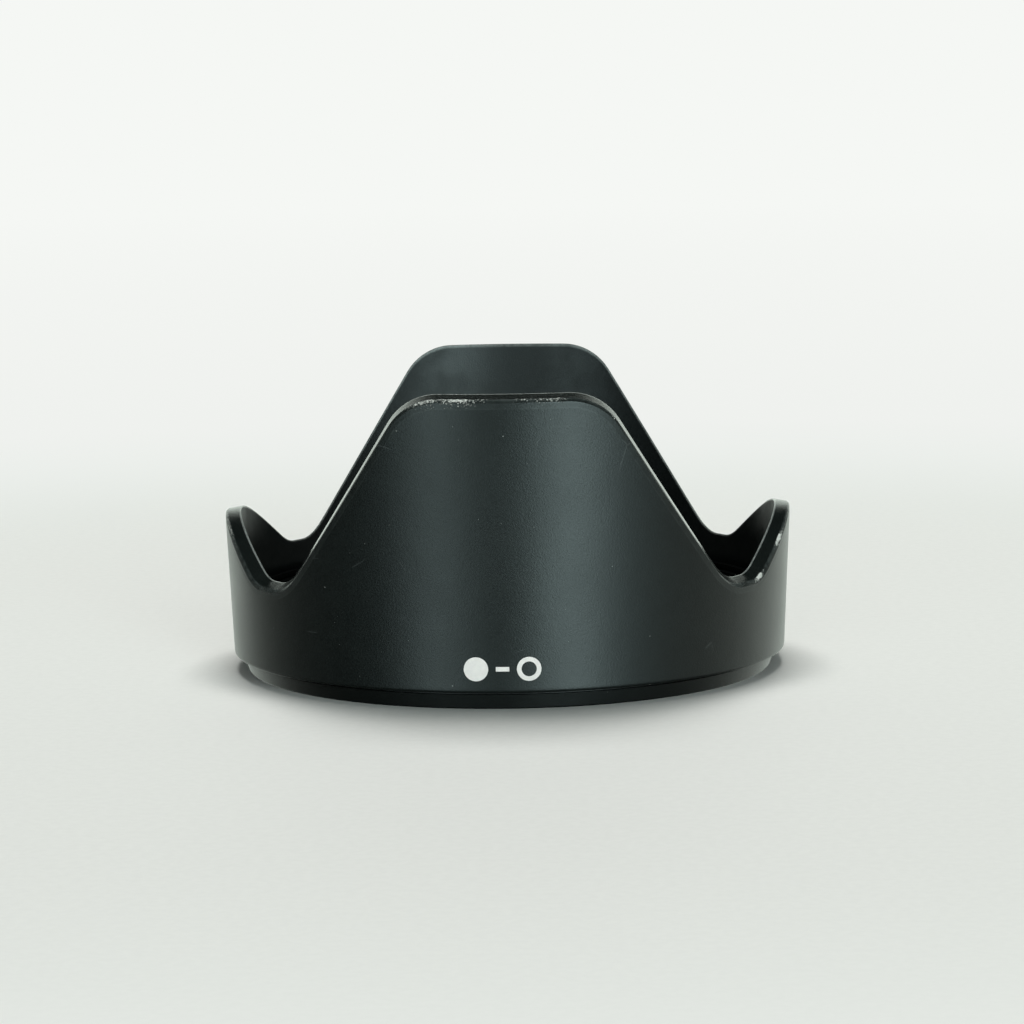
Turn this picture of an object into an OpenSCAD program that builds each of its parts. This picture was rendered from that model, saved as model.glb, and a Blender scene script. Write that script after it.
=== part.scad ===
// Petal-shaped bayonet lens hood for a small standard zoom lens.
// It stands on its bayonet end: the origin is the centre of the base, +Z is the
// light axis, the two tall petals are on -Y and +Y, the two short ones on -X and +X.

/* [Petal shell] */
// Height of the tall petals above the base
hood_height = 37.8; // [36:0.1:40]
// Outer radius of the shell at its lower edge
shell_radius = 35; // [35:0.1:35.4]
// Growth of the outer radius for each millimetre of height
outer_draft = 0.0449; // [0.04:0.0005:0.05]
// Inner radius of the shell at its lower edge
inner_radius = 33.2; // [33.2:0.01:33.3]
// Growth of the inner radius for each millimetre of height
inner_draft = 0.0356; // [0.033:0.0005:0.038]
// Height of the shell's lower edge, where the parting line runs
shell_base = 2.15; // [2:0.05:2.4]

/* [Petal outline] */
// Half width of a tall petal where its slanted edges would meet its top
tip_half_width = 11.6; // [10:0.1:13]
// Sideways run of a tall petal's slanted edge for each millimetre down
slant_run = 0.606; // [0.56:0.002:0.64]
// Corner radius of a tall petal's top
tip_corner = 7; // [4:0.5:9]
// Height of the short petals above the base
side_height = 20.4; // [18:0.1:23]
// Radius of the arc over a short petal
side_arc = 20.6; // [18:0.2:26]
// Height of the notch floors between the petals
notch_height = 13.55; // [13:0.05:15]

/* [Rim] */
// Fall of the rim face from the inner ridge to the outer wall at a tall petal's tip
tip_fall = 0.9; // [0.4:0.05:1.1]
// The same fall along the notch floors
notch_fall = 1.2; // [0.6:0.05:1.4]
// The same fall at a short petal's tip
side_fall = 0.45; // [0.2:0.05:1.2]
// Share of the wall taken by the wide rim face, the rest is the steep outer bevel
face_share = 0.87; // [0.7:0.01:0.95]
// Share of the fall taken by the wide rim face
face_fall = 0.6; // [0.4:0.01:0.8]
// Rounding of the inner ridge
ridge_round = 0.14; // [0.05:0.01:0.25]
// Rounding of the shell's lower outer edge
edge_round = 0.45; // [0.2:0.05:0.6]

/* [Mount ring] */
// Radius of the socket that slides over the lens barrel's front
socket_radius = 31.6; // [31.5:0.05:31.7]
// Radius of the bayonet chamber behind the lugs' entry
chamber_radius = 31.1; // [31:0.05:31.2]
// Radius of the base band at the very bottom
band_radius = 33.24; // [33:0.02:33.4]
// Radius of the spigot inside the shell
spigot_radius = 33; // [32.9:0.02:33.05]
// Height of the mount ring
ring_height = 9.9; // [9.6:0.1:11]
// Depth of the socket from the base to its ceiling
socket_depth = 6.8; // [6.6:0.1:7]
// Radius of the light opening
light_radius = 29.6; // [29.4:0.1:29.7]
// Height of each anti-glare step
step_rise = 0.75; // [0.6:0.05:0.8]
// Width of each anti-glare step
step_run = 0.8; // [0.7:0.05:0.85]

/* [Bayonet lugs] */
// Inner radius of the lugs
lug_radius = 30.1; // [30:0.05:30.4]
// Distance from the base to the lugs
lug_start = 3.4; // [3.2:0.1:3.6]
// Thickness of the lugs
lug_thick = 1.4; // [1:0.1:1.6]
// Arc of each lug in degrees
lug_arc = 32; // [24:1:36]

/* [Detent springs] */
// Thickness of the spring leaf
leaf_thick = 0.28; // [0.2:0.02:0.3]
// Width of the spring leaf along the light axis
leaf_width = 2.4; // [2:0.1:2.6]
// Arc of the spring leaf in degrees
leaf_arc = 24; // [22:0.5:25]
// Arc from the leaf's root to its bump in degrees
bump_arc = 18; // [16:0.5:19]
// Height of the bump above the chamber wall
bump_rise = 0.35; // [0.25:0.05:0.4]

/* [Screws] */
// Diameter of the screw shank
screw_diameter = 1.4; // [1.2:0.1:1.4]
// Diameter of the countersunk head
head_diameter = 2.6; // [2.2:0.1:2.8]

/* [Alignment mark] */
// Width of the printed mark
mark_width = 9.2; // [7:0.1:12]
// Height of the printed mark
mark_height = 2.9; // [2:0.1:3.4]
// Height of the mark's middle above the base
mark_level = 5.15; // [5:0.05:9]
// Distance of the mark's middle to the left of the tall petal's middle
mark_shift = 0.54; // [0:0.02:2]

/* [Hidden] */

// Roundness of turned surfaces
ROUND = 180;
// Softness of the notch corners at the inner ridge and at the outer wall
INNER_BLEND = 2;
OUTER_BLEND = 3;
// Half angle of a tall petal's top corner, and where its arc starts and ends
CORNER_ANGLE = atan(1 / slant_run);
ARC_START = tip_half_width - tip_corner * tan(CORNER_ANGLE / 2);
ARC_END = ARC_START + tip_corner * sin(CORNER_ANGLE);
// Angles, from a tall petal's middle to a short petal's middle, where the shell is cut
STATIONS = concat(
    [for (a = [0 : 3 : 12]) a],
    [for (a = [13.5 : 1.5 : 24]) a],
    [for (a = [27 : 3 : 42]) a],
    [for (a = [44 : 1 : 68]) a],
    [for (a = [70 : 4 : 90]) a]);

// Angular places round the light axis, measured from +X
LUG_PLACES = [90, 210, 330];
SPRING_PLACES = [18, 138];
SCREW_PLACES = [58, 178, 298];

// Chamfers of the socket's mouth, of the spigot's top and of the band's foot
MOUTH_CHAMFER = 0.35;
SPIGOT_CHAMFER = 0.3;
FOOT_CHAMFER = 0.18;
// Growth of the base band up to the parting line
BAND_FLARE = 0.5;
// Width and depth of the shadow gap between the band and the shell
GAP_WIDTH = 0.28;
GAP_DEPTH = 0.45;
// Number of anti-glare steps
STEPS = 3;
// Inner radius of the spring leaves and the height of their lower edge
LEAF_RADIUS = 32.36;
LEAF_LEVEL = 3.8;
// Free space round a spring leaf, and under its bump's window
LEAF_FREE = 0.2;
WINDOW_FREE = 0.1;
// Arc of the window that the bump pokes through
WINDOW_ARC = 5.6;
POCKET_RADIUS = LEAF_RADIUS - 0.1;
// Radius of the bump at the leaf's end
BUMP_RADIUS = 1.15;
// Height of the screws' axes, radius of their tips, and free space round the shanks
SCREW_LEVEL = 5;
SCREW_TIP = 34.3;
THREAD_FREE = 0.04;
SHANK_FREE = 0.1;
HEAD_FREE = 0.2;
// Width of the screws' cross recess
RECESS_WIDTH = 0.3;
// Length of the screws' points
POINT_LENGTH = 0.4;
// Thickness of the printed ink, and the width of the mark's bar and ring line
INK_THICK = 0.05;
INK_LINE = 0.55;
INK_GAP = 0.9;
// Overrun of the cuts past a surface
CUT = 2;

BLACK = [0.09, 0.1, 0.1];
RING_BLACK = [0.07, 0.075, 0.075];
SPRING_METAL = [0.72, 0.68, 0.6];
SCREW_METAL = [0.55, 0.56, 0.58];
WHITE_INK = [0.9, 0.91, 0.89];

// ---------- petal shell ----------

// Radius of the inner and the outer wall at a height
function inner_wall(z) = inner_radius + inner_draft * (z - shell_base);
function outer_wall(z) = shell_radius + outer_draft * (z - shell_base);

// The larger of two heights with the corner between them rounded
function soft_max(a, b, blend) =
    let (near = max(blend - abs(a - b), 0) / blend)
    max(a, b) + near * near * blend / 4;

// Height of a tall petal's outline at a sideways distance
function tall_outline(x) =
    x < ARC_START ? hood_height :
    x < ARC_END ? hood_height - tip_corner + sqrt(pow(tip_corner, 2) - pow(x - ARC_START, 2)) :
    hood_height - (x - tip_half_width) / slant_run;

// Height of a short petal's outline at a distance from its middle
function short_outline(y) = side_height - y * y / (2 * side_arc);

// Fall of the rim across the wall, 0 at the inner ridge and 1 at the outer wall
function rim_fall(u) =
    u < face_share ? face_fall * u / face_share :
    face_fall + (1 - face_fall) * (u - face_share) / (1 - face_share);

// Height of the rim at a plan position and a share of the wall
function rim_height(x, y, u) =
    let (blend = INNER_BLEND + (OUTER_BLEND - INNER_BLEND) * u,
         tall = tall_outline(x),
         tall_share = max(0, (tall - notch_height) / (hood_height - notch_height)),
         tall_top = tall - tip_fall * tall_share * rim_fall(u),
         short = short_outline(y),
         short_share = max(0, (short - notch_height) / (side_height - notch_height)),
         short_fall = notch_fall + (side_fall - notch_fall) * pow(short_share, 3),
         short_top = short - short_fall * rim_fall(u),
         floor_top = notch_height - notch_fall * rim_fall(u))
    soft_max(soft_max(tall_top, floor_top, blend), short_top, blend / 2);

// Rim height along the ray at angle a, where the wall's radius itself grows with height
function rim_on_ray(a, u, z, passes) =
    passes == 0 ? z :
    let (r = (1 - u) * inner_wall(z) + u * outer_wall(z))
    rim_on_ray(a, u, rim_height(r * sin(a), r * cos(a), u), passes - 1);

function rim_z(a, u) = rim_on_ray(a, u, 20, 4);
function rim_r(a, u) = (1 - u) * inner_wall(rim_z(a, u)) + u * outer_wall(rim_z(a, u));

// Wall section at angle a as [radius, height], from the inner bottom edge over the rim
function wall_section(a) =
    let (ridge = rim_z(a, 0))
    [[inner_wall(shell_base), shell_base],
     [inner_wall(ridge - ridge_round), ridge - ridge_round],
     [inner_wall(ridge) + ridge_round, ridge],
     [rim_r(a, face_share), rim_z(a, face_share)],
     [rim_r(a, 1), rim_z(a, 1)],
     [outer_wall(shell_base + edge_round), shell_base + edge_round],
     [outer_wall(shell_base) - edge_round * 0.3, shell_base + edge_round * 0.3],
     [outer_wall(shell_base) - edge_round, shell_base]];

module petal_shell() {
    last = len(STATIONS) - 1;
    // The quarter's stations, mirrored round the whole circle from -Y
    turn = concat(
        [for (i = [0 : last - 1]) [STATIONS[i], STATIONS[i]]],
        [for (i = [last : -1 : 1]) [180 - STATIONS[i], STATIONS[i]]],
        [for (i = [0 : last - 1]) [180 + STATIONS[i], STATIONS[i]]],
        [for (i = [last : -1 : 1]) [360 - STATIONS[i], STATIONS[i]]]);
    rings = len(turn);
    sides = len(wall_section(0));
    points = [for (t = turn) for (p = wall_section(t[1]))
        [p[0] * sin(t[0]), -p[0] * cos(t[0]), p[1]]];
    faces = [for (i = [0 : rings - 1]) for (j = [0 : sides - 1])
        let (n = (i + 1) % rings, k = (j + 1) % sides)
        each [[i * sides + j, n * sides + j, n * sides + k],
              [i * sides + j, n * sides + k, i * sides + k]]];
    color(BLACK) difference() {
        polyhedron(points, faces);
        for (a = SCREW_PLACES) screw_bore(a, screw_diameter / 2 + THREAD_FREE / 2,
                                          spigot_radius - 0.5, SCREW_TIP + 0.1);
    }
}

// A round cut along a ray from the light axis, between two radii
module screw_bore(a, r, from, to) {
    rotate([0, 0, a]) translate([from, 0, SCREW_LEVEL]) rotate([0, 90, 0])
        cylinder(h = to - from, r = r, $fn = 32);
}

// ---------- mount ring ----------

// A ring sector between two radii and two heights, over an arc that starts at angle a
module sector(a, arc, r1, r2, z1, z2) {
    rotate([0, 0, a]) rotate_extrude(angle = arc, $fn = ROUND)
        translate([r1, z1]) square([r2 - r1, z2 - z1]);
}

module ring_body() {
    seat = ring_height - STEPS * step_rise;
    rotate_extrude($fn = ROUND) polygon(concat(
        [[socket_radius + MOUTH_CHAMFER, 0], [socket_radius, MOUTH_CHAMFER],
         [socket_radius, lug_start], [chamber_radius, lug_start],
         [chamber_radius, socket_depth], [light_radius, socket_depth]],
        [for (i = [0 : STEPS - 1]) each
            [[light_radius + i * step_run, seat + i * step_rise],
             [light_radius + (i + 1) * step_run, seat + i * step_rise]]],
        [[light_radius + STEPS * step_run, ring_height],
         [spigot_radius - SPIGOT_CHAMFER, ring_height],
         [spigot_radius, ring_height - SPIGOT_CHAMFER],
         [spigot_radius, shell_base], [spigot_radius + GAP_DEPTH, shell_base],
         [spigot_radius + GAP_DEPTH, shell_base - GAP_WIDTH],
         [band_radius + BAND_FLARE, shell_base - GAP_WIDTH - 0.06],
         [band_radius, FOOT_CHAMFER], [band_radius - FOOT_CHAMFER, 0]]));
}

// Room behind the socket wall for one spring leaf, its bump and its root tab
module spring_room(a) {
    sector(a - 1, leaf_arc + 2, POCKET_RADIUS, spigot_radius + CUT,
           LEAF_LEVEL - LEAF_FREE, LEAF_LEVEL + leaf_width + LEAF_FREE);
    sector(a + bump_arc - WINDOW_ARC / 2, WINDOW_ARC, chamber_radius - 0.5, POCKET_RADIUS + 0.1,
           LEAF_LEVEL - WINDOW_FREE, LEAF_LEVEL + leaf_width + WINDOW_FREE);
    rotate([0, 0, a]) translate([socket_radius + 0.15, -0.15, LEAF_LEVEL - WINDOW_FREE])
        cube([1, 0.6, leaf_width + 2 * WINDOW_FREE]);
}

module mount_ring() {
    head = head_diameter / 2;
    shank = screw_diameter / 2;
    color(RING_BLACK) difference() {
        union() {
            ring_body();
            for (a = LUG_PLACES) sector(a - lug_arc / 2, lug_arc, lug_radius,
                                        chamber_radius + 0.2, lug_start, lug_start + lug_thick);
        }
        for (a = SPRING_PLACES) spring_room(a);
        for (a = SCREW_PLACES) {
            screw_bore(a, shank + SHANK_FREE, chamber_radius - CUT, spigot_radius + CUT);
            rotate([0, 0, a]) translate([chamber_radius - 0.1, 0, SCREW_LEVEL]) rotate([0, 90, 0])
                cylinder(h = head - shank + SHANK_FREE, r1 = head + HEAD_FREE,
                         r2 = shank + SHANK_FREE, $fn = 48);
        }
    }
}

// ---------- detent springs ----------

// A formed spring leaf: curved strip, inward root tab and rounded inward bump
module detent_spring(a) {
    outer = LEAF_RADIUS + leaf_thick;
    color(SPRING_METAL) {
        union() {
            sector(a, leaf_arc, LEAF_RADIUS, outer, LEAF_LEVEL, LEAF_LEVEL + leaf_width);
            rotate([0, 0, a]) translate([socket_radius + 0.25, 0, LEAF_LEVEL])
                cube([LEAF_RADIUS - socket_radius - 0.15, leaf_thick, leaf_width]);
            intersection() {
                rotate([0, 0, a + bump_arc])
                    translate([chamber_radius - bump_rise + BUMP_RADIUS, 0, LEAF_LEVEL + 0.3])
                    cylinder(h = leaf_width - 0.6, r = BUMP_RADIUS, $fn = 48);
                cylinder(h = LEAF_LEVEL + leaf_width, r = LEAF_RADIUS + leaf_thick / 2, $fn = ROUND);
            }
        }
    }
}

module detent_spring_a() { detent_spring(SPRING_PLACES[0]); }
module detent_spring_b() { detent_spring(SPRING_PLACES[1]); }

// ---------- screws ----------

// A countersunk screw that points away from the light axis, with a cross recess
module ring_screw() {
    head = head_diameter / 2;
    shank = screw_diameter / 2;
    difference() {
        union() {
            cylinder(h = head - shank, r1 = head, r2 = shank, $fn = 48);
            cylinder(h = SCREW_TIP - chamber_radius - POINT_LENGTH, r = shank, $fn = 32);
            translate([0, 0, SCREW_TIP - chamber_radius - POINT_LENGTH])
                cylinder(h = POINT_LENGTH, r1 = shank, r2 = shank * 0.4, $fn = 32);
        }
        for (turn = [0, 90]) rotate([0, 0, turn])
            translate([-head * 0.6, -RECESS_WIDTH / 2, -0.1])
                cube([head * 1.2, RECESS_WIDTH, 0.5]);
    }
}

module ring_screws() {
    color(SCREW_METAL) for (a = SCREW_PLACES)
        rotate([0, 0, a]) translate([chamber_radius + 0.1, 0, SCREW_LEVEL])
            rotate([0, 90, 0]) ring_screw();
}

// ---------- printed mark ----------

// A dot, a bar and an open ring: the generic unlock-to-lock mark
module mark_outline() {
    r = mark_height / 2;
    side = mark_width / 2 - r;
    translate([-side, 0]) circle(r = r, $fn = 48);
    translate([side, 0]) difference() {
        circle(r = r, $fn = 48);
        circle(r = r - INK_LINE, $fn = 48);
    }
    translate([-side + r + INK_GAP, -INK_LINE / 2])
        square([2 * (side - r - INK_GAP), INK_LINE]);
}

module index_mark() {
    low = mark_level - mark_height * 0.6;
    high = mark_level + mark_height * 0.6;
    color(WHITE_INK) intersection() {
        rotate_extrude($fn = ROUND) polygon([
            [outer_wall(low), low], [outer_wall(low) + INK_THICK, low],
            [outer_wall(high) + INK_THICK, high], [outer_wall(high), high]]);
        translate([-mark_shift, 0, mark_level]) rotate([90, 0, 0])
            linear_extrude(height = shell_radius + CUT) mark_outline();
    }
}

petal_shell();
mount_ring();
detent_spring_a();
detent_spring_b();
ring_screws();
index_mark();
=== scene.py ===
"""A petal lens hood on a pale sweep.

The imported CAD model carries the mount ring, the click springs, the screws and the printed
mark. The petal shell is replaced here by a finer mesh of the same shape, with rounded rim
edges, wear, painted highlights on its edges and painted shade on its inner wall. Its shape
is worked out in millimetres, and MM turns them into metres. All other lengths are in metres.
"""
import math

import bmesh
import bpy
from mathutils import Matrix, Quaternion, Vector


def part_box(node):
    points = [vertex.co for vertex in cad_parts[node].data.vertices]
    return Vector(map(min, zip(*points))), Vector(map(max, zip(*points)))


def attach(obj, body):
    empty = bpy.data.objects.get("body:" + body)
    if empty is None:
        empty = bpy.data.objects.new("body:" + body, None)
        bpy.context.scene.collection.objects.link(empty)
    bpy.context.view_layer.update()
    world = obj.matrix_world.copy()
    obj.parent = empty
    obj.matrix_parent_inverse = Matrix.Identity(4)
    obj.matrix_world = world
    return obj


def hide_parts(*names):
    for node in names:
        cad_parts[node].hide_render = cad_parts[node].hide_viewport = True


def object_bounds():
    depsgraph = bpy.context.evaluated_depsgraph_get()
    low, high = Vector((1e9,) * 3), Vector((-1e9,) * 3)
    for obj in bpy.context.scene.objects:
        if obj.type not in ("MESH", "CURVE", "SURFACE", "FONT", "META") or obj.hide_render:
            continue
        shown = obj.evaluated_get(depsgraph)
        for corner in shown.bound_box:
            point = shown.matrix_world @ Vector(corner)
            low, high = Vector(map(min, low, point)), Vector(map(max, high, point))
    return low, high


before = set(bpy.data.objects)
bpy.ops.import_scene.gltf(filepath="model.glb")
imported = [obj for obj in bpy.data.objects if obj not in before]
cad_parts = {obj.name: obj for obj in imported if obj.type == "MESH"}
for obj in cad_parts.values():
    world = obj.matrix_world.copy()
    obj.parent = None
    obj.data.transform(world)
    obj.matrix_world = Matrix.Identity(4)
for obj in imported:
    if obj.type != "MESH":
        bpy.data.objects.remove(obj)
cad_low, cad_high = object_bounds()

MM = 0.001

# ---------- driving dimensions, in millimetres ----------

HOOD_HEIGHT = cad_high.z / MM
SHELL_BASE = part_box("petal_shell")[0].z / MM
# Radius of each wall at the shell's base, and what it gains for each millimetre of height
SHELL_RADIUS = 35.0
OUTER_DRAFT = 0.0449
INNER_RADIUS = 33.2
INNER_DRAFT = 0.0356
# A tall petal seen from the front: half the width of its tip, how far each flank spreads for
# each millimetre down, and the radius of its corners
TIP_HALF_WIDTH = 11.6
SLANT_RUN = 0.606
TIP_CORNER = 7.0
# A short petal's height and the radius of its crown
SIDE_HEIGHT = 20.4
SIDE_ARC = 20.6
NOTCH_HEIGHT = 13.55
# Fall of the rim from the inner ridge to the outer wall, and the power with which the
# notch's fall turns into the short petal's
TIP_FALL = 0.9
NOTCH_FALL = 1.2
SIDE_FALL = 0.45
SIDE_POWER = 3
# The rim's face takes this share of the wall and this share of the fall
FACE_SHARE = 0.87
FACE_FALL = 0.6
# Radii of the wall section's rounded edges
RIDGE_ROUND = 0.13
RIM_EDGE_ROUND = 0.12
LOWER_EDGE_ROUND = 0.45
INNER_EDGE_ROUND = 0.1
# The shallow bevel round the outside of the rim: its width and how far it cuts in
BEVEL_WIDTH = 0.7
BEVEL_CUT = 0.045
# Rounding where a petal runs into a notch, at the inner ridge and at the outer wall
INNER_BLEND = 2.0
OUTER_BLEND = 3.0

CORNER_ANGLE = math.atan(1 / SLANT_RUN)
ARC_START = TIP_HALF_WIDTH - TIP_CORNER * math.tan(CORNER_ANGLE / 2)
ARC_END = ARC_START + TIP_CORNER * math.sin(CORNER_ANGLE)

# ---------- fineness of the mesh ----------

# Steps round the shell, a multiple of four so that the petals stay symmetric
STATIONS = 512
# Points along each rounded edge, and the most of a side that its rounding may take
ROUND_STEPS = 4
ROUND_SHARE = 0.45
# Rounds of solving for the rim's height, which changes its radius, which changes its height
RIM_PASSES = 5
# Rows of points along each straight part of the wall section, as shares of its length
WALL_ROWS = (0.01, 0.04, 0.12, 0.25, 0.4, 0.55, 0.7, 0.84, 0.94, 0.98)
LAST_OUTER_ROW = 0.995
LIP_ROWS = (0.15, 0.5, 0.85)
FACE_ROWS = (0.86, 0.6, 0.35, 0.16)


# ---------- shape of the petal shell ----------

def inner_wall(z):
    """Radius of the inner wall at height z."""
    return INNER_RADIUS + INNER_DRAFT * (z - SHELL_BASE)


def outer_wall(z):
    """Radius of the outer wall at height z."""
    return SHELL_RADIUS + OUTER_DRAFT * (z - SHELL_BASE)


def soft_max(a, b, blend):
    """The larger of two heights, with the corner between them rounded."""
    near = max(blend - abs(a - b), 0) / blend
    return max(a, b) + near * near * blend / 4


def tall_outline(x):
    """Height of a tall petal's outline at sideways distance x."""
    if x < ARC_START:
        return HOOD_HEIGHT
    if x < ARC_END:
        return HOOD_HEIGHT - TIP_CORNER + math.sqrt(TIP_CORNER ** 2 - (x - ARC_START) ** 2)
    return HOOD_HEIGHT - (x - TIP_HALF_WIDTH) / SLANT_RUN


def rim_fall(u):
    """Fall of the rim across the wall: 0 at the inner ridge, 1 at the outer wall."""
    if u < FACE_SHARE:
        return FACE_FALL * u / FACE_SHARE
    return FACE_FALL + (1 - FACE_FALL) * (u - FACE_SHARE) / (1 - FACE_SHARE)


def rim_height(x, y, u):
    """Height of the rim at plan position x, y and share u of the wall."""
    blend = INNER_BLEND + (OUTER_BLEND - INNER_BLEND) * u
    fall = rim_fall(u)
    tall = tall_outline(x)
    tall_share = max(0, (tall - NOTCH_HEIGHT) / (HOOD_HEIGHT - NOTCH_HEIGHT))
    short = SIDE_HEIGHT - y * y / (2 * SIDE_ARC)
    short_share = max(0, (short - NOTCH_HEIGHT) / (SIDE_HEIGHT - NOTCH_HEIGHT))
    short_fall = NOTCH_FALL + (SIDE_FALL - NOTCH_FALL) * short_share ** SIDE_POWER
    tall_top = tall - TIP_FALL * tall_share * fall
    floor_top = NOTCH_HEIGHT - NOTCH_FALL * fall
    return soft_max(soft_max(tall_top, floor_top, blend), short - short_fall * fall, blend / 2)


def rim_point(angle, u):
    """[radius, height] of the rim at an angle from the tall petal's middle."""
    z = SIDE_HEIGHT
    for _ in range(RIM_PASSES):
        r = (1 - u) * inner_wall(z) + u * outer_wall(z)
        z = rim_height(abs(r * math.sin(angle)), abs(r * math.cos(angle)), u)
    return Vector(((1 - u) * inner_wall(z) + u * outer_wall(z), z))


def bevel_drop(angle):
    """How far below the rim's outer edge the bevel ends, so that its width stays even."""
    step = 0.01
    near, far = rim_point(angle - step, 1), rim_point(angle + step, 1)
    return BEVEL_WIDTH * math.hypot(1, (far.y - near.y) / (2 * step * near.x))


def rounded(before, corner, after, radius):
    """Points of a small arc that replaces a corner of the wall section."""
    to_before = (before - corner).normalized()
    to_after = (after - corner).normalized()
    half = to_before.angle(to_after) / 2
    reach = min(radius / math.tan(half), ROUND_SHARE * (before - corner).length,
                ROUND_SHARE * (after - corner).length)
    start, end = corner + to_before * reach, corner + to_after * reach
    points = []
    for i in range(ROUND_STEPS + 1):
        t = i / ROUND_STEPS
        points.append((1 - t) ** 2 * start + 2 * t * (1 - t) * corner + t * t * end)
    return points


def between(a, b, shares):
    """Points on the line from a to b at the given shares of its length."""
    return [a.lerp(b, s) for s in shares]


def wall_section(angle):
    """The closed wall section at an angle: [(point, edge name, part of the surface)]."""
    ridge, face_edge, rim_edge = (rim_point(angle, u) for u in (0, FACE_SHARE, 1))
    foot_out = Vector((outer_wall(SHELL_BASE), SHELL_BASE))
    foot_in = Vector((inner_wall(SHELL_BASE), SHELL_BASE))
    bevel_z = rim_edge.y - bevel_drop(angle)
    bevel = Vector((outer_wall(bevel_z), bevel_z))
    rim_edge.x -= BEVEL_CUT
    foot_arc = rounded(foot_in, foot_out, bevel, LOWER_EDGE_ROUND)
    rim_arc = rounded(bevel, rim_edge, face_edge, RIM_EDGE_ROUND)
    face_arc = rounded(rim_edge, face_edge, ridge, RIM_EDGE_ROUND)
    ridge_arc = rounded(face_edge, ridge, foot_in, RIDGE_ROUND)
    inner_arc = rounded(ridge, foot_in, foot_out, INNER_EDGE_ROUND)
    rows = []
    for points, edge, part in (
            (foot_arc, "foot", "wall"),
            (between(foot_arc[-1], bevel, WALL_ROWS + (LAST_OUTER_ROW,)), "", "wall"),
            ([bevel], "bevel", "wall"),
            (between(bevel, rim_arc[0], LIP_ROWS), "lip", "wall"),
            (rim_arc, "rim", "face"),
            (face_arc, "face", "face"),
            ([rim_point(angle, FACE_SHARE * share) for share in FACE_ROWS], "", "face"),
            (ridge_arc, "ridge", "face"),
            (between(ridge_arc[-1], inner_arc[0], WALL_ROWS), "", "inside"),
            (inner_arc, "", "inside")):
        rows.extend((point, edge, part) for point in points)
    return rows


# ---------- wear and painted highlights of the rim ---

# Worn places and painted glints on the rim: sideways place x, height z and reach, in
# millimetres, and strength.
# The first five are pale scuffs near the tall petal's tip; the last four are painted highlights
# of polished spots.
# They count on the petals and notches that face -Y.
SCUFFS_AND_GLINTS = (
    (-9.0, 37.4, 2.4, 1.05),
    (-5.5, 37.4, 2.6, 1.15),
    (-2.6, 37.4, 1.4, 0.4),
    (2.4, 37.4, 1.4, 0.45),
    (5.4, 37.4, 2.2, 0.7),
    (13.2, 34.9, 0.5, 0.8),
    (-34.6, 18.9, 1.8, 0.6),
    (33.6, 17.0, 0.75, 1.9),
    (30.9, 13.2, 0.55, 1.9),
)
# How strongly each named edge of the wall section wears and is painted lighter: wear on the
# face edge, painted highlight on the rim edge, bevel, lip and ridge
EDGE_WEAR_AND_HIGHLIGHT = {"face": 1.0, "rim": 0.3, "ridge": 0.4, "bevel": 0.45, "lip": 0.16, "foot": 0.0,
             "": 0.0}


def scuff_and_glint_weight(point):
    """How strongly wear and painted glints mark the rim at a point, in millimetres: 0 is not at
    all.
    """
    if point.y > 0:
        return 0.0
    total = 0.0
    for x, z, reach, strength in SCUFFS_AND_GLINTS:
        away = math.hypot(point.x - x, point.z - z)
        total = max(total, strength * math.exp(-(away / reach) ** 2))
    return total


# ---------- mesh building ----------

def add_object(name, data):
    """A new object in the scene."""
    thing = bpy.data.objects.new(name, data)
    bpy.context.scene.collection.objects.link(thing)
    return thing


def shell_points():
    """All points of the shell, station by station, and the masks that steer its wear, its
    painted highlights and the painted shade of its inner wall.
    """
    places = []
    masks = {"edge": [], "scuff_and_glint": [], "face": [], "inside": [], "ridge": []}
    for i in range(STATIONS):
        turn = 2 * math.pi * i / STATIONS
        for point, edge, part in wall_section(turn):
            place = Vector((point.x * math.sin(turn), -point.x * math.cos(turn), point.y))
            places.append(place * MM)
            # Edge weights steer wear and painted edge highlights
            masks["edge"].append(EDGE_WEAR_AND_HIGHLIGHT[edge])
            # Scuffs and painted glints on the rim
            masks["scuff_and_glint"].append(0.0 if edge == "bevel" else scuff_and_glint_weight(place))
            masks["face"].append(float(part == "face"))
            masks["inside"].append(float(part == "inside"))
            masks["ridge"].append(float(edge == "ridge"))
    return places, masks


def ring_faces(sides):
    """Quads that join each station's closed section of that many points to the next one's."""
    faces = []
    for i in range(STATIONS):
        here, there = i * sides, (i + 1) % STATIONS * sides
        for j in range(sides):
            k = (j + 1) % sides
            faces.append((here + j, there + j, there + k, here + k))
    return faces


def build_shell(material):
    """The petal shell as one closed mesh, swept round the light axis."""
    mesh = bpy.data.meshes.new("petal_shell_fine")
    places, masks = shell_points()
    mesh.from_pydata(places, [], ring_faces(len(places) // STATIONS))
    mesh.validate()
    for name, values in masks.items():
        attribute = mesh.attributes.new(name, "FLOAT", "POINT")
        attribute.data.foreach_set("value", values)
    tidy = bmesh.new()
    tidy.from_mesh(mesh)
    bmesh.ops.recalc_face_normals(tidy, faces=tidy.faces)
    tidy.to_mesh(mesh)
    tidy.free()
    mesh.shade_smooth()
    mesh.materials.append(material)
    return add_object("petal_shell_fine", mesh)


# ---------- node trees ----------

# Cells whose random tone is above this carry a speck of dust
DUST_THRESHOLD = 0.62
# Bends of the scratches and patches with scratches, both to a metre, and the bends' reach
BEND_SCALE = 60
PATCH_SCALE = 130
BEND_REACH = 0.004


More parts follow.
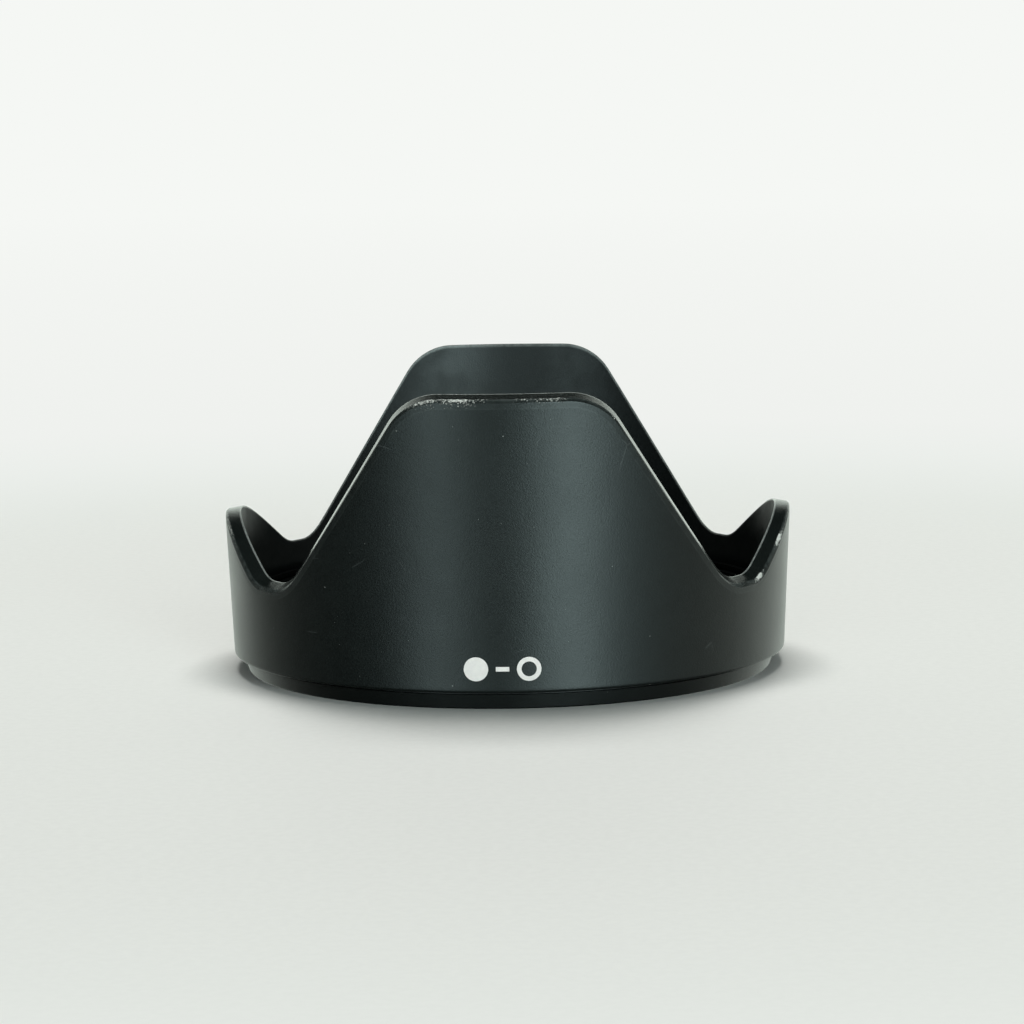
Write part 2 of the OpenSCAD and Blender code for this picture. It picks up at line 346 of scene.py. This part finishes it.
class Nodes:
    """A short way to write the node tree of a material or of the world."""

    def __init__(self, owner):
        owner.use_nodes = True
        self.owner = owner
        self.tree = owner.node_tree
        self.shader = self.tree.nodes.get("Principled BSDF")

    def put(self, socket, value):
        """Sets a socket's own value, or links another node's output to it."""
        if isinstance(value, bpy.types.NodeSocket):
            self.tree.links.new(value, socket)
        else:
            socket.default_value = value

    def add(self, kind, values=None, **settings):
        """A new node with its settings and its inputs, which go by name or by place."""
        node = self.tree.nodes.new(kind)
        for key, value in settings.items():
            setattr(node, key, value)
        for key, value in (values or {}).items():
            self.put(node.inputs[key], value)
        return node

    def paint(self, **values):
        """Sets the shader's inputs; an underscore stands for a space in a name."""
        for key, value in values.items():
            self.put(self.shader.inputs[key.replace("_", " ")], value)

    def place(self):
        """The piece's own coordinates in metres."""
        return self.add("ShaderNodeTexCoord").outputs["Object"]

    def axes(self, vector):
        """The x, y and z of a vector."""
        node = self.add("ShaderNodeSeparateXYZ", {0: vector})
        return [node.outputs[axis] for axis in "XYZ"]

    def noise(self, scale, detail=2.0, roughness=0.5, vector=None):
        """Noise about 0.5, with that many features to a metre."""
        node = self.add("ShaderNodeTexNoise", {"Scale": scale, "Detail": detail,
                                               "Roughness": roughness,
                                               "Vector": vector or self.place()})
        return node.outputs["Fac"]

    def math(self, operation, *values):
        """The result of an operation on two values, or on one or three."""
        node = self.add("ShaderNodeMath", dict(enumerate(values)), operation=operation)
        return node.outputs[0]

    def weigh(self, a, by_a, b, by_b):
        """a times its weight plus b times its weight."""
        return self.math("ADD", self.math("MULTIPLY", a, by_a),
                         self.math("MULTIPLY", b, by_b))

    def remap(self, value, low, high, to_low=0.0, to_high=1.0, curve="SMOOTHSTEP"):
        """The value between low and high, carried over to between to_low and to_high."""
        node = self.add("ShaderNodeMapRange", {"Value": value, "From Min": low,
                                               "From Max": high, "To Min": to_low,
                                               "To Max": to_high}, interpolation_type=curve)
        return node.outputs["Result"]

    def mix(self, share, a, b, kind="RGBA"):
        """A colour on the way from a to b."""
        node = self.add("ShaderNodeMix", {"Factor": share, "A": a, "B": b}, data_type=kind)
        return node.outputs["Result"]

    def mix_value(self, share, a, b):
        """A number on the way from a to b."""
        return self.mix(share, a, b, "FLOAT")

    def ramp(self, share, stops, curve="LINEAR"):
        """A colour ramp through stops, given as (position, colour) from left to right."""
        node = self.add("ShaderNodeValToRGB", {"Fac": share})
        node.color_ramp.interpolation = curve
        elements = node.color_ramp.elements
        while len(elements) < len(stops):
            elements.new(0.5)
        for element, (position, colour) in zip(elements, stops):
            element.position = position
            element.color = colour
        return node.outputs["Color"]

    def attribute(self, name):
        """One of the shell's masks."""
        return self.add("ShaderNodeAttribute", attribute_name=name).outputs["Fac"]

    def bump(self, height, strength, distance):
        """The normal of a bumpy surface: a height of 1 stands proud by the distance."""
        node = self.add("ShaderNodeBump", {"Height": height, "Strength": strength,
                                           "Distance": distance})
        return node.outputs["Normal"]

    def cells(self, density, vector, **settings):
        """Random cells, that many to a metre."""
        return self.add("ShaderNodeTexVoronoi", {"Scale": density, "Randomness": 1.0,
                                                 "Vector": vector}, **settings)

    def dust(self, density, size):
        """Sparse bright specks: 1 on a speck, 0 elsewhere. size is the speck's radius."""
        cell = self.cells(density, self.place())
        dot = self.math("LESS_THAN", cell.outputs["Distance"], size * density)
        picked = self.math("GREATER_THAN", cell.outputs["Color"], DUST_THRESHOLD)
        return self.math("MULTIPLY", dot, picked)

    def hairlines(self, density, width):
        """Sparse, slightly bent hairline scratches of that half width: 1 on a scratch."""
        bend = self.add("ShaderNodeTexNoise", {"Scale": BEND_SCALE, "Detail": 1.0,
                                               "Vector": self.place()})
        shift = self.add("ShaderNodeVectorMath", {0: bend.outputs["Color"],
                                                  "Scale": BEND_REACH}, operation="SCALE")
        warped = self.add("ShaderNodeVectorMath", {0: self.place(), 1: shift.outputs[0]},
                          operation="ADD")
        cell = self.cells(density, warped.outputs[0], feature="DISTANCE_TO_EDGE")
        line = self.remap(cell.outputs["Distance"], 0.0, width * density, 1.0, 0.0)
        return self.math("MULTIPLY", line, self.remap(self.noise(PATCH_SCALE), 0.6, 0.66))


# ---------- materials ----------

DUST_COLOUR = (0.4, 0.42, 0.4, 1)
SCRATCH_COLOUR = (0.12, 0.13, 0.13, 1)
# Inner wall colour, darker than the shell's plastic: painted shade for the hood's inside
INNER_WALL_SHADE_COLOUR = (0.0034, 0.0044, 0.0043, 1)
# Lighter edge colour: wear on the face edge, painted highlight on the other edges
WORN_EDGE_AND_HIGHLIGHT_COLOUR = (0.075, 0.086, 0.083, 1)
# Ridge colour: a painted highlight along the whole inner ridge
RIDGE_HIGHLIGHT_COLOUR = (0.17, 0.18, 0.172, 1)
# Pale chip colour: real scuffs near the tip, painted glints on polished spots
CHIP_AND_GLINT_COLOUR = (0.66, 0.66, 0.62, 1)
# Socket and steps colour: a matt black finish, deepened as painted shade in these recesses
SOCKET_BLACK_AND_SHADE_COLOUR = (0.0012, 0.0014, 0.0014, 1)
INK_COLOURS = (0.97, 0.91, 0.88, 1), (0.9, 0.845, 0.82, 1)
PAPER_COLOURS = (0.822, 0.802, 0.775, 1), (0.845, 0.825, 0.797, 1)

# How far smudges and grain move the plastic's roughness either way
ROUGHNESS_SWING = 0.04
# The ring is matt black, partly painted shade, within this radius and above this height
SOCKET_REACH = 0.0322
STEPS_HEIGHT = 0.004


def shade(base, share):
    """A colour darkened or brightened by a share."""
    return tuple(share * c for c in base) + (1,)


def black_plastic(name, base, roughness, finish):
    """Black moulded plastic: spark-eroded grain, faint smudges, scratches and a little dust.

    finish adds what is special to the piece: the shell's worn rim with its painted highlights
    and shade, or the ring's blacked inside with its painted shade.
    """
    n = Nodes(bpy.data.materials.new(name))
    grain = n.noise(5200, 3.0, 0.6)
    mottle = n.noise(420, 4.0, 0.55)
    smudge = n.noise(60, 3.0, 0.5)
    tone = n.weigh(mottle, 0.3, grain, 0.7)
    colour = n.mix(n.remap(tone, 0.3, 0.7), shade(base, 0.7), shade(base, 1.3))
    rough = n.remap(n.weigh(smudge, 0.6, grain, 0.4), 0.3, 0.7,
                    roughness - ROUGHNESS_SWING, roughness + ROUGHNESS_SWING)
    speck = n.math("MAXIMUM", n.dust(330, 0.00009), n.dust(700, 0.00005))
    colour = n.mix(n.math("MULTIPLY", speck, 0.35), colour, DUST_COLOUR)
    scratch = n.math("MULTIPLY", n.hairlines(90, 0.00006), 0.3)
    colour = n.mix(scratch, colour, SCRATCH_COLOUR)
    height = n.weigh(grain, 0.6, mottle, 0.4)
    colour, rough, height = finish(n, colour, rough, height)
    n.paint(Base_Color=colour, Roughness=rough, IOR=1.46, Normal=n.bump(height, 0.6, 0.00006))
    return n.owner


def worn_rim_with_painted_light(n, colour, rough, height):
    """Smooth rim faces, rubbed edges with pale scuffs, painted highlights on the edges, the
    ridge and polished spots, and painted shade that darkens the inner wall.
    """
    inside, face, ridge = n.attribute("inside"), n.attribute("face"), n.attribute("ridge")
    edge, scuff_and_glint = n.attribute("edge"), n.attribute("scuff_and_glint")
    smear = n.noise(140, 4.0, 0.65)
    rub = n.noise(900, 3.0, 0.6)
    nick = n.noise(4200, 4.0, 0.75)
    # Rubbed-edge mask: wear on the face edge, painted highlight on the rim edge, bevel, lip and
    # ridge
    polish_and_highlight = n.math("MULTIPLY", edge, n.remap(rub, 0.35, 0.65, 0.4, 1.0))
    # Chips, and painted glints on polished spots, come where strong wear lifts the noise over a
    # threshold
    wear_and_glint = n.math("MULTIPLY", n.math("POWER", edge, 0.7), scuff_and_glint)
    chips_and_glints = n.remap(n.math("ADD", nick, n.math("MULTIPLY", wear_and_glint, 0.2)), 0.6, 0.74)
    chips_and_glints = n.math("MULTIPLY", chips_and_glints, n.remap(wear_and_glint, 0.05, 0.3))
    # A painted highlight all along the inner ridge, broken a little by noise
    painted_ridge_highlight = n.math("MULTIPLY", ridge, n.remap(rub, 0.3, 0.6, 0.5, 1.0))
    # The inner wall is painted darker: painted shade inside the hood
    colour = n.mix(inside, colour, INNER_WALL_SHADE_COLOUR)
    colour = n.mix(n.math("MULTIPLY", polish_and_highlight, 0.5), colour, WORN_EDGE_AND_HIGHLIGHT_COLOUR)
    colour = n.mix(painted_ridge_highlight, colour, RIDGE_HIGHLIGHT_COLOUR)
    # Pale chips: scuffs near the tip, painted highlights of polished spots elsewhere
    colour = n.mix(chips_and_glints, colour, CHIP_AND_GLINT_COLOUR)
    rough = n.mix_value(face, rough, n.remap(smear, 0.3, 0.7, 0.16, 0.23))
    rough = n.mix_value(inside, rough, n.remap(smear, 0.35, 0.65, 0.4, 0.5))
    rough = n.mix_value(n.math("MULTIPLY", polish_and_highlight, 0.8), rough, 0.24)
    rough = n.mix_value(chips_and_glints, rough, 0.6)
    n.paint(Specular_IOR_Level=n.mix_value(inside, 0.5, 0.66))
    return colour, rough, n.math("SUBTRACT", height, n.math("MULTIPLY", chips_and_glints, 1.5))


def blacked_and_shaded_inside(n, colour, rough, height):
    """The ring's socket and steps are matt, deep black against stray light, with painted shade
    deepening the black in these recesses.
    """
    x, y, z = n.axes(n.place())
    radius = n.math("SQRT", n.weigh(x, x, y, y))
    dull_shaded = n.math("MAXIMUM", n.math("LESS_THAN", radius, SOCKET_REACH),
                  n.math("GREATER_THAN", z, STEPS_HEIGHT))
    # Socket and steps painted deeper black: matt finish plus painted shade
    colour = n.mix(dull_shaded, colour, SOCKET_BLACK_AND_SHADE_COLOUR)
    rough = n.mix_value(dull_shaded, rough, n.remap(n.noise(2400), 0.3, 0.7, 0.72, 0.9))
    n.paint(Specular_IOR_Level=n.mix_value(dull_shaded, 0.5, 0.12))
    return colour, rough, height


def brushed_metal(name, base, stretch):
    """Rolled or turned metal with fine lines, drawn out along its axes, and some tarnish."""
    n = Nodes(bpy.data.materials.new(name))
    drawn = n.add("ShaderNodeMapping", {"Scale": stretch, "Vector": n.place()})
    lines = n.noise(3000, 3.0, 0.6, drawn.outputs["Vector"])
    stain = n.remap(n.noise(700, 3.0, 0.6), 0.35, 0.7)
    n.paint(Base_Color=n.mix(stain, shade(base, 1), shade(base, 0.6)),
            Roughness=n.remap(lines, 0.3, 0.7, 0.22, 0.42), Metallic=1.0,
            Normal=n.bump(lines, 0.2, 0.00002))
    return n.owner


def white_ink():
    """Thin matt pad-printed ink, a little uneven, so the black below dulls it."""
    n = Nodes(bpy.data.materials.new("white_ink_print"))
    thin = n.noise(1500, 3.0, 0.6)
    n.paint(Base_Color=n.mix(n.remap(thin, 0.3, 0.75), *INK_COLOURS),
            Roughness=n.remap(thin, 0.3, 0.7, 0.5, 0.65), Normal=n.bump(thin, 0.2, 0.00001))
    return n.owner


def repaint(node, material):
    """Gives a CAD node a better material in each of its slots."""
    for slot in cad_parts[node].material_slots:
        slot.material = material


# ---------- stage and room ----------

SWEEP_RADIUS, SWEEP_SIDES = 4.0, 128
SWEEP_COLOUR = (0.913, 0.930, 0.905, 1)
# The painted glow that the camera sees on the sweep, brightening away from the hood: distance,
# colour
PAINTED_FLOOR_GLOW = ((0.16, (0.80, 0.839, 0.80, 1)), (0.29, (0.863, 0.880, 0.855, 1)),
        (0.5, (0.880, 0.896, 0.871, 1)), (1.2, SWEEP_COLOUR))
PAINTED_FLOOR_GLOW_END = PAINTED_FLOOR_GLOW[-1][0]
# Distances between which the camera sees the lit floor turn into the painted glow
FLOOR_FADE = (0.09, 0.26)

# Brightness of the room round the hood: degrees from the front (-Y) towards +X, radiance
ROOM = ((-180, 1.35), (-150, 1.15), (-128, 0.5), (-110, 0.22), (-95, 0.1), (-80, 0.03),
        (-58, 0.05), (-46, 0.2), (-37, 1.2), (-29, 3.3), (-20, 1.5), (-8, 0.15), (2, 0.15),
        (11, 0.9), (19, 5.0), (25, 7.0), (31, 4.6), (39, 1.6), (52, 0.75), (74, 0.36),
        (99, 0.5), (125, 0.9), (150, 1.15), (180, 1.35))
ROOM_PEAK = 7.0
FRONT_HALF_ANGLE = 70
FRONT_TINT = (0.77, 1, 1)
BACK_TINT = (0.9, 1, 0.91)

# Soft steps of the room's light, for the unit direction x, y, z: where the step starts and
# ends, and the light before and after it.
# In z + CEILING_TILT * y: the dark ceiling, lower at the back
CEILING_TILT = 0.45
CEILING_STEP = (0.8, 0.9, ROOM_PEAK, 0.03 * ROOM_PEAK)
# In z: the dark below the floor's level, and the dimmer upper room
GROUND_STEP = (-0.62, -0.3, 0.03, 1.0)
UPPER_STEP = (0.34, 0.56, 1.0, 0.2)
# In |x| * z: the black flags high at both sides
FLAG_STEP = (0.12, 0.15, 1.0, 0.08)
# In z: the panel straight above
PANEL_STEP = (0.95, 0.98, 0.0, 1.5)
PANEL_COLOUR = (0.93, 1, 0.95, 1)


def build_sweep():
    """A wide pale floor. The camera sees it turn into a painted glow that brightens to the
    backdrop's colour with distance.
    """
    bpy.ops.mesh.primitive_circle_add(vertices=SWEEP_SIDES, radius=SWEEP_RADIUS,
                                      fill_type="TRIFAN")
    floor = bpy.context.object
    floor.name = "sweep"
    n = Nodes(bpy.data.materials.new("sweep_paper_painted_glow"))
    grain = n.remap(n.noise(900, 3.0, 0.6), 0.3, 0.7)
    n.paint(Base_Color=n.mix(grain, *PAPER_COLOURS), Roughness=0.7, Specular_IOR_Level=0.2)
    length = n.add("ShaderNodeVectorMath", {0: n.place()}, operation="LENGTH")
    away = length.outputs["Value"]
    glow_colour = n.ramp(n.math("DIVIDE", away, PAINTED_FLOOR_GLOW_END),
                  [(distance / PAINTED_FLOOR_GLOW_END, colour) for distance, colour in PAINTED_FLOOR_GLOW])
    # An emission seen only by camera rays: painted light in place of the lit floor
    glow = n.add("ShaderNodeEmission", {"Strength": 1.0, "Color": glow_colour})
    seen = n.add("ShaderNodeLightPath").outputs["Is Camera Ray"]
    share = n.math("MULTIPLY", n.remap(away, *FLOOR_FADE, curve="SMOOTHERSTEP"), seen)
    blend = n.add("ShaderNodeMixShader", {0: share, 1: n.shader.outputs[0],
                                          2: glow.outputs[0]})
    n.put(n.tree.nodes["Material Output"].inputs["Surface"], blend.outputs[0])
    floor.data.materials.append(n.owner)
    floor.visible_glossy = False


def room_colour(degrees, radiance):
    """The lights in front are cool; the backdrop is neutral."""
    tint = FRONT_TINT if abs(degrees) < FRONT_HALF_ANGLE else BACK_TINT
    return shade(tint, radiance / ROOM_PEAK)


def room_strength(n, x, y, z):
    """How bright the room is up, down and at its upper corners."""
    ceiling = n.remap(n.math("MULTIPLY_ADD", y, CEILING_TILT, z), *CEILING_STEP)
    ground, upper = n.remap(z, *GROUND_STEP), n.remap(z, *UPPER_STEP)
    flag = n.remap(n.math("MULTIPLY", n.math("ABSOLUTE", x), z), *FLAG_STEP)
    level = n.math("MULTIPLY", ground, n.math("MULTIPLY", upper, flag))
    return n.math("MULTIPLY", ceiling, level)


def build_world():
    """A pale room with soft lights left and right of the front and a panel straight above.

    The camera sees only its plain backdrop.
    """
    world = bpy.data.worlds.new("studio")
    bpy.context.scene.world = world
    n = Nodes(world)
    backdrop = n.tree.nodes["Background"]
    n.put(backdrop.inputs["Color"], SWEEP_COLOUR)
    x, y, z = n.axes(n.add("ShaderNodeTexCoord").outputs["Generated"])
    turn = n.math("ARCTAN2", x, n.math("MULTIPLY", y, -1))
    colour = n.ramp(n.remap(turn, -math.pi, math.pi, curve="LINEAR"),
                    [((degrees + 180) / 360, room_colour(degrees, radiance))
                     for degrees, radiance in ROOM], "EASE")
    room = n.add("ShaderNodeBackground", {"Color": colour,
                                          "Strength": room_strength(n, x, y, z)})
    panel = n.add("ShaderNodeBackground", {"Color": PANEL_COLOUR,
                                           "Strength": n.remap(z, *PANEL_STEP)})
    whole = n.add("ShaderNodeAddShader", {0: room.outputs[0], 1: panel.outputs[0]})
    seen = n.add("ShaderNodeLightPath").outputs["Is Camera Ray"]
    choose = n.add("ShaderNodeMixShader", {0: seen, 1: whole.outputs[0],
                                           2: backdrop.outputs[0]})
    n.put(n.tree.nodes["World Output"].inputs["Surface"], choose.outputs[0])


# ---------- lights and camera ----------

LIGHT_COLOUR = (0.97, 1.0, 0.985)
LIGHT_AIM = Vector((0, 0, 0.018))

# The camera's place round its pivot and its tilt, in degrees, and its lens in millimetres
CAMERA_AZIMUTH, CAMERA_ELEVATION, CAMERA_ROLL = 0.55, 7.79, -0.826
CAMERA_PIVOT = Vector((0, 0, 0.017))
CAMERA_DISTANCE = 0.46416
CAMERA_AIM = Vector((0.00055, 0, 0.01924))
CAMERA_LENS, SENSOR_WIDTH = 128.19, 36.0
NEAREST_SEEN, FARTHEST_SEEN = 0.02, 20.0


def outward(azimuth, elevation):
    """Direction away from the hood: degrees from the front (-Y) towards +X, degrees up."""
    a, e = math.radians(azimuth), math.radians(elevation)
    return Vector((math.sin(a) * math.cos(e), -math.cos(a) * math.cos(e), math.sin(e)))


def softbox(name, azimuth, elevation, distance, size, power):
    """A rectangular area light that points at the hood and shows in no reflection."""
    light = bpy.data.lights.new(name, "AREA")
    light.shape = "RECTANGLE"
    light.size, light.size_y = size
    light.energy = power
    light.color = LIGHT_COLOUR
    lamp = add_object(name, light)
    back = outward(azimuth, elevation)
    lamp.location = LIGHT_AIM + back * distance
    lamp.rotation_mode = "QUATERNION"
    lamp.rotation_quaternion = back.to_track_quat("Z", "Y")
    lamp.visible_glossy = False


def build_camera():
    """A long lens, slightly above the rim, with the hood's front petal ahead."""
    data = bpy.data.cameras.new("camera")
    data.lens, data.sensor_width = CAMERA_LENS, SENSOR_WIDTH
    data.clip_start, data.clip_end = NEAREST_SEEN, FARTHEST_SEEN
    camera = add_object("camera", data)
    camera.location = CAMERA_PIVOT + outward(CAMERA_AZIMUTH, CAMERA_ELEVATION) * CAMERA_DISTANCE
    look = (camera.location - CAMERA_AIM).to_track_quat("Z", "Y")
    camera.rotation_mode = "QUATERNION"
    camera.rotation_quaternion = look @ Quaternion((0, 0, 1), math.radians(CAMERA_ROLL))
    bpy.context.scene.camera = camera


# ---------- the scene ----------

build_camera()
build_sweep()
build_world()
softbox("top_softbox", azimuth=180, elevation=76, distance=0.9, size=(0.5, 0.5), power=6.3)
softbox("front_fill", azimuth=4, elevation=16, distance=0.8, size=(0.5, 0.3), power=1.7)
bpy.context.scene.view_settings.view_transform = "Standard"

# The shell's plastic carries wear, painted highlights and painted shade on its inner wall
shell = build_shell(black_plastic("shell_plastic_worn_painted_light", base=(0.0068, 0.0088, 0.0082),
                                  roughness=0.33, finish=worn_rim_with_painted_light))
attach(shell, "hood")
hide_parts("petal_shell")

# The ring's socket and steps are painted deeper black, partly as painted shade
repaint("mount_ring", black_plastic("ring_plastic_matt_painted_shade", base=(0.0046, 0.0055, 0.0050),
                                    roughness=0.37, finish=blacked_and_shaded_inside))
spring_metal = brushed_metal("spring_bronze", base=(0.62, 0.52, 0.36), stretch=(1, 1, 0.05))
repaint("detent_spring_a", spring_metal)
repaint("detent_spring_b", spring_metal)
repaint("ring_screws",
        brushed_metal("screw_zinc", base=(0.3, 0.31, 0.33), stretch=(1, 1, 1)))
repaint("index_mark", white_ink())
